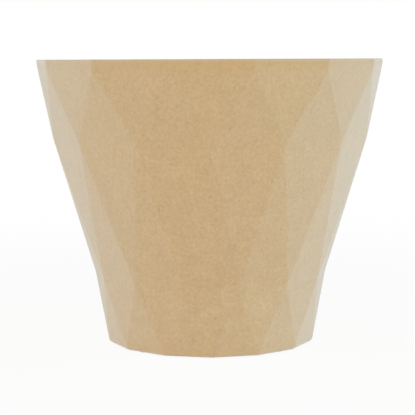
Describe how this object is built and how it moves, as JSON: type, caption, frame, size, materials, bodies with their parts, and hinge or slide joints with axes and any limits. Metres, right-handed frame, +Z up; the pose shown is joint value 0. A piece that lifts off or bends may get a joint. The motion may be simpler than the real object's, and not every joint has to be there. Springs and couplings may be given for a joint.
{
  "type": "plant pot",
  "caption": "Faceted, tapering plant pot with staggered kite facets, an open top, a drain hole with a lift-out rubber plug, and rubber feet under its foot ring.",
  "frame": {"origin": "on the pot's axis, at the surface that the feet stand on", "axes": "+Z up along the pot's axis, -Y toward the side that the picture shows, +X to that side's right"},
  "size_m": [0.1542, 0.1504, 0.1259],
  "materials": {
    "fibre_composite": "matte moulded plant-fibre composite, kraft tan with a fine speckle",
    "plug_rubber": "matte moulded rubber, warm dark grey",
    "foot_rubber": "matte rubber, warm dark grey"
  },
  "bodies": {
    "pot": {"pot_shell": "fibre_composite", "foot_pad_1": "foot_rubber", "foot_pad_2": "foot_rubber", "foot_pad_3": "foot_rubber", "foot_pad_4": "foot_rubber"},
    "plug": {"drain_plug": "plug_rubber"}
  },
  "joints": [
    {"name": "plug_lift", "type": "slide", "parent": "pot", "child": "plug", "axis": [0, 0, 1], "range_m": [0, 0.13]}
  ]
}
